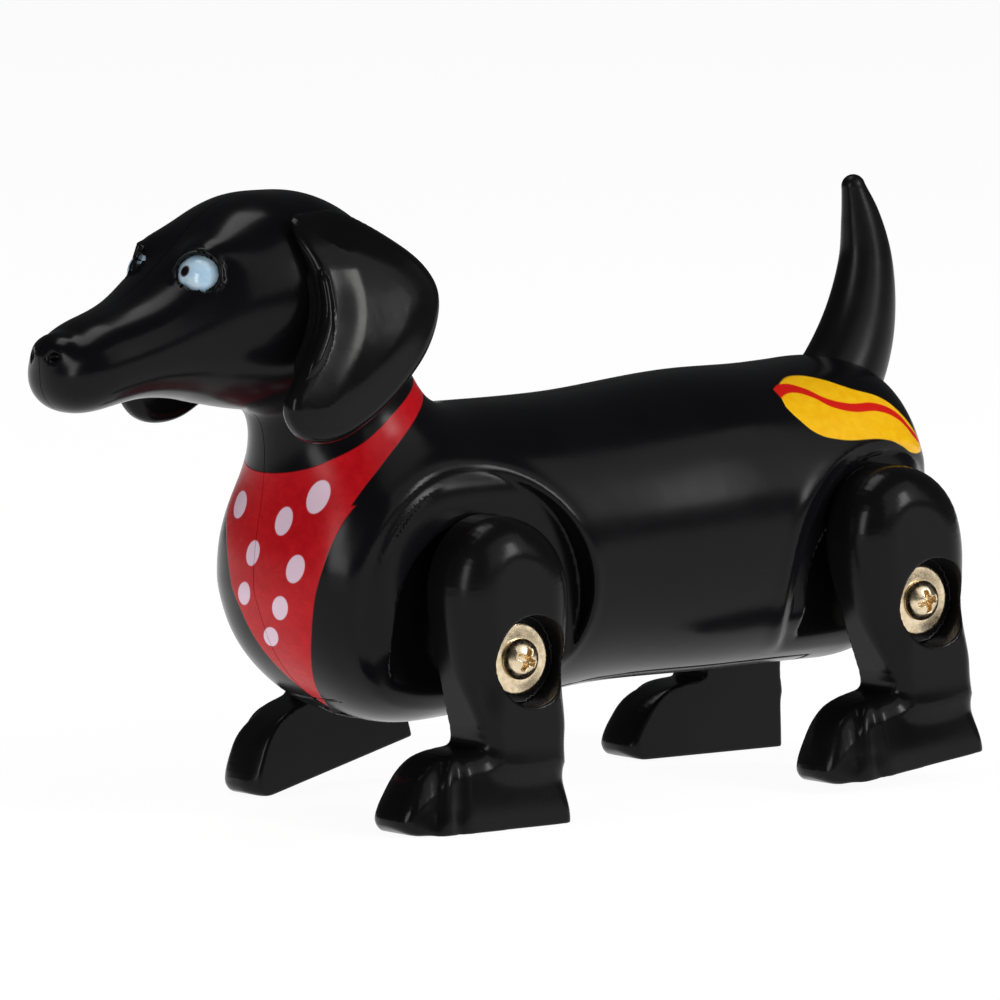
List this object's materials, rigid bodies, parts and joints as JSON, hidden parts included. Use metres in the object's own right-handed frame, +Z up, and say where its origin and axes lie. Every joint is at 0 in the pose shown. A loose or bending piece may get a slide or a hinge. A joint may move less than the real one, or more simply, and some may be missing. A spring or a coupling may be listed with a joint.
{
  "type": "walking dog toy",
  "caption": "Walking dachshund toy: two glossy shells, crank-driven legs on screwed pins, geared battery drive inside, long ears and an upright tail.",
  "frame": {"origin": "on the floor under the middle of the bounding box", "axes": "+X towards the nose, +Y to the dog's left, +Z up"},
  "size_m": [0.1182, 0.0472, 0.0692],
  "materials": {
    "black_gloss": "polished injection-moulded ABS",
    "black_satin": "satin injection-moulded plastic",
    "eye_blue": "glossy painted plastic",
    "pale_gold": "pale gold plated steel",
    "steel": "zinc plated",
    "brass": "machined",
    "nylon_white": "moulded nylon",
    "abs_grey": "moulded ABS",
    "board_green": "solder mask",
    "wire_red": "PVC insulation",
    "wire_black": "PVC insulation"
  },
  "bodies": {
    "body": {"body_shell_left": "black_gloss", "body_shell_right": "black_gloss", "ear_left": "black_gloss", "ear_right": "black_gloss", "tail": "black_satin", "eye_left": "eye_blue", "eye_right": "eye_blue", "shell_screw_1": "steel", "shell_screw_2": "steel", "shell_screw_3": "steel", "shell_screw_4": "steel", "motor_can": "steel", "button_cell_1": "steel", "button_cell_2": "steel", "button_cell_3": "steel", "front_left_axle_bush": "brass", "front_right_axle_bush": "brass", "rear_left_axle_bush": "brass", "rear_right_axle_bush": "brass", "battery_contact_rear": "brass", "battery_contact_front": "brass", "motor_end_cap": "abs_grey", "chassis_left": "abs_grey", "chassis_right": "abs_grey", "front_shaft_wall": "abs_grey", "rear_shaft_wall": "abs_grey", "motor_cradle": "abs_grey", "battery_tray": "abs_grey", "switch_housing": "abs_grey", "circuit_board": "board_green", "motor_wire_red": "wire_red", "motor_wire_black": "wire_black"},
    "front_crank": {"front_axle": "steel", "front_worm_wheel": "nylon_white", "front_left_crank_disc": "nylon_white", "front_left_leg_washer": "pale_gold", "front_left_leg_screw": "pale_gold", "front_right_crank_disc": "nylon_white", "front_right_leg_washer": "pale_gold", "front_right_leg_screw": "pale_gold"},
    "rear_crank": {"rear_axle": "steel", "rear_worm_wheel": "nylon_white", "rear_left_crank_disc": "nylon_white", "rear_left_leg_washer": "pale_gold", "rear_left_leg_screw": "pale_gold", "rear_right_crank_disc": "nylon_white", "rear_right_leg_washer": "pale_gold", "rear_right_leg_screw": "pale_gold"},
    "worm_shaft": {"worm_shaft": "steel", "front_worm": "brass", "rear_worm": "brass", "spur_gear": "nylon_white"},
    "motor_rotor": {"motor_pinion": "brass"},
    "front_left_leg": {"front_left_leg": "black_gloss"},
    "front_right_leg": {"front_right_leg": "black_gloss"},
    "rear_left_leg": {"rear_left_leg": "black_gloss"},
    "rear_right_leg": {"rear_right_leg": "black_gloss"},
    "switch_slider": {"switch_slider": "black_satin"},
    "battery_door": {"battery_door": "black_gloss", "battery_door_screw": "steel"}
  },
  "joints": [
    {"name": "rear_crank", "type": "hinge", "parent": "body", "child": "rear_crank", "pos_m": [-0.0488, 0, 0.01939], "axis": [0, 1, 0], "continuous": true},
    {"name": "front_crank", "type": "hinge", "parent": "body", "child": "front_crank", "pos_m": [0.0086, 0, 0.0198], "axis": [0, 1, 0], "continuous": true},
    {"name": "worm_shaft", "type": "hinge", "parent": "body", "child": "worm_shaft", "pos_m": [-0.02, 0, 0.026], "axis": [1, 0, 0], "continuous": true},
    {"name": "motor_rotor", "type": "hinge", "parent": "body", "child": "motor_rotor", "pos_m": [-0.042, 0, 0.03415], "axis": [1, 0, 0], "continuous": true},
    {"name": "front_left_leg", "type": "hinge", "parent": "front_crank", "child": "front_left_leg", "pos_m": [0.00919, 0.0165, 0.0181], "axis": [0, 1, 0], "continuous": true},
    {"name": "front_right_leg", "type": "hinge", "parent": "front_crank", "child": "front_right_leg", "pos_m": [0.00801, -0.0165, 0.0215], "axis": [0, 1, 0], "continuous": true},
    {"name": "rear_left_leg", "type": "hinge", "parent": "rear_crank", "child": "rear_left_leg", "pos_m": [-0.04755, 0.0165, 0.02069], "axis": [0, 1, 0], "continuous": true},
    {"name": "rear_right_leg", "type": "hinge", "parent": "rear_crank", "child": "rear_right_leg", "pos_m": [-0.05005, -0.0165, 0.0181], "axis": [0, 1, 0], "continuous": true},
    {"name": "switch_slider", "type": "slide", "parent": "body", "child": "switch_slider", "axis": [1, 0, 0], "range_m": [-0.0032, 0]},
    {"name": "battery_door", "type": "slide", "parent": "body", "child": "battery_door", "axis": [0, 0, -1], "range_m": [0, 0.011]}
  ],
  "couplings": [
    {"joint": "front_crank", "follows": "rear_crank", "ratio": 1},
    {"joint": "worm_shaft", "follows": "rear_crank", "ratio": 12},
    {"joint": "motor_rotor", "follows": "rear_crank", "ratio": -36},
    {"joint": "front_left_leg", "follows": "rear_crank", "ratio": -1},
    {"joint": "front_right_leg", "follows": "rear_crank", "ratio": -1},
    {"joint": "rear_left_leg", "follows": "rear_crank", "ratio": -1},
    {"joint": "rear_right_leg", "follows": "rear_crank", "ratio": -1}
  ]
}
